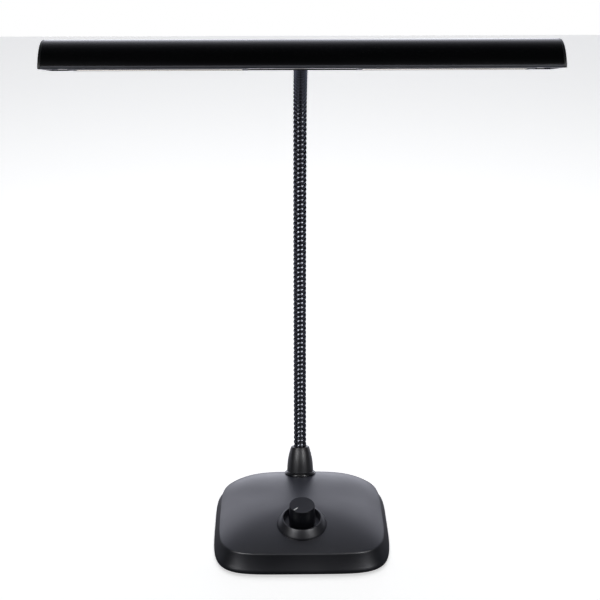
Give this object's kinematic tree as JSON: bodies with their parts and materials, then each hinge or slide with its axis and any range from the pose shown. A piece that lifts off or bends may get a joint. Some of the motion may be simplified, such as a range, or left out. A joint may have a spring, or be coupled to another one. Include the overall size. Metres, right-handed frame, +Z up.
{
  "type": "piano lamp",
  "caption": "Piano lamp with a domed weighted base, a rotary dimmer knob, a flexible ribbed gooseneck and a long arched shade with two light windows.",
  "frame": {"origin": "on the table, under the middle of the base", "axes": "+Z up, -Y towards the dimmer knob (front), X along the shade"},
  "size_m": [0.356, 0.146, 0.4052],
  "materials": {
    "cover_plastic": "satin moulded ABS",
    "plate_plastic": "matt moulded ABS",
    "foot_rubber": "matt rubber",
    "weight_iron": "rolled, oiled",
    "bezel_plastic": "semi-gloss moulded ABS",
    "knob_plastic": "satin moulded ABS",
    "pointer_white": "inlaid white paint",
    "plated_steel": "zinc plated",
    "shaft_brass": "turned",
    "board_laminate": "solder-masked glass laminate",
    "component_black": "moulded packages",
    "inlet_plastic": "moulded",
    "lead_sleeve": "PVC insulation",
    "foot_ring_plastic": "semi-gloss moulded",
    "cone_plastic": "fine-textured moulded",
    "neck_steel": "black coated steel windings",
    "shade_aluminium": "black anodised extrusion",
    "cap_plastic": "moulded ABS",
    "reflector_white": "white polycarbonate sheet",
    "led_phosphor": "phosphor coated",
    "rim_plastic": "moulded ABS",
    "diffuser_opal": "frosted opal acrylic, lit"
  },
  "bodies": {
    "base": {"base_cover": "cover_plastic", "base_plate": "plate_plastic", "base_weight": "weight_iron", "rubber_feet": "foot_rubber", "plate_screws": "plated_steel", "knob_bezel": "bezel_plastic", "dimmer_control": "plated_steel", "control_washer": "plated_steel", "control_nut": "plated_steel", "driver_board": "board_laminate", "board_parts": "component_black", "driver_board_screws": "plated_steel", "power_inlet": "inlet_plastic", "base_leads": "lead_sleeve", "neck_ring": "foot_ring_plastic", "neck_cone": "cone_plastic", "neck_stem": "plated_steel", "stem_washer": "plated_steel", "stem_nut": "plated_steel", "neck_section_1": "neck_steel"},
    "knob": {"control_shaft": "shaft_brass", "dimmer_knob": "knob_plastic", "knob_pointer": "pointer_white"},
    "neck_2": {"neck_section_2": "neck_steel"},
    "neck_3": {"neck_section_3": "neck_steel"},
    "neck_4": {"neck_section_4": "neck_steel"},
    "neck_5": {"neck_section_5": "neck_steel"},
    "neck_6": {"neck_section_6": "neck_steel"},
    "neck_7": {"neck_section_7": "neck_steel"},
    "neck_8": {"neck_section_8": "neck_steel"},
    "neck_9": {"neck_section_9": "neck_steel"},
    "head": {"neck_section_10": "neck_steel", "head_sleeve": "cone_plastic", "head_spigot": "plated_steel", "spigot_saddle": "plated_steel", "spigot_nut": "plated_steel", "shade_profile": "shade_aluminium", "left_end_cap": "cap_plastic", "right_end_cap": "cap_plastic", "reflector_plate": "reflector_white", "left_led_board": "reflector_white", "right_led_board": "reflector_white", "left_leds": "led_phosphor", "right_leds": "led_phosphor", "led_board_screws": "plated_steel", "left_window_rim": "rim_plastic", "right_window_rim": "rim_plastic", "left_diffuser": "diffuser_opal", "right_diffuser": "diffuser_opal", "head_leads": "lead_sleeve"}
  },
  "joints": [
    {"name": "knob_turn", "type": "hinge", "parent": "base", "child": "knob", "pos_m": [0, -0.037, 0.02549], "axis": [0, 0.1606, -0.987], "range_deg": [0, 270]},
    {"name": "neck_lower_bend", "type": "hinge", "parent": "base", "child": "neck_2", "pos_m": [0, 0.06106, 0.08576], "axis": [1, 0, 0], "range_deg": [-10, 10]},
    {"name": "neck_side_bend", "type": "hinge", "parent": "neck_2", "child": "neck_3", "pos_m": [0, 0.06515, 0.12467], "axis": [0, 0.9986, -0.0523], "range_deg": [-10, 10]},
    {"name": "neck_lower_bend_2", "type": "hinge", "parent": "neck_3", "child": "neck_4", "pos_m": [0, 0.06645, 0.16379], "axis": [1, 0, 0], "range_deg": [-10, 10]},
    {"name": "neck_side_bend_2", "type": "hinge", "parent": "neck_4", "child": "neck_5", "pos_m": [0, 0.06624, 0.20292], "axis": [0, 0.9997, 0.0245], "range_deg": [-10, 10]},
    {"name": "neck_lower_bend_3", "type": "hinge", "parent": "neck_5", "child": "neck_6", "pos_m": [0, 0.06453, 0.24202], "axis": [1, 0, 0], "range_deg": [-10, 10]},
    {"name": "neck_side_bend_3", "type": "hinge", "parent": "neck_6", "child": "neck_7", "pos_m": [0, 0.06132, 0.28103], "axis": [0, 0.9949, 0.1011], "range_deg": [-10, 10]},
    {"name": "neck_upper_bend", "type": "hinge", "parent": "neck_7", "child": "neck_8", "pos_m": [0, 0.05662, 0.31988], "axis": [1, 0, 0], "range_deg": [-10, 10]},
    {"name": "neck_upper_bend_2", "type": "hinge", "parent": "neck_8", "child": "neck_9", "pos_m": [0, 0.0462, 0.3493], "axis": [1, 0, 0], "range_deg": [-10, 10]},
    {"name": "neck_upper_bend_3", "type": "hinge", "parent": "neck_9", "child": "head", "pos_m": [0, 0.02512, 0.37231], "axis": [1, 0, 0], "range_deg": [-10, 10]}
  ],
  "couplings": [
    {"joint": "neck_lower_bend_2", "follows": "neck_lower_bend", "ratio": 1},
    {"joint": "neck_lower_bend_3", "follows": "neck_lower_bend", "ratio": 1},
    {"joint": "neck_side_bend_2", "follows": "neck_side_bend", "ratio": 1},
    {"joint": "neck_side_bend_3", "follows": "neck_side_bend", "ratio": 1},
    {"joint": "neck_upper_bend_2", "follows": "neck_upper_bend", "ratio": 1},
    {"joint": "neck_upper_bend_3", "follows": "neck_upper_bend", "ratio": 1}
  ]
}
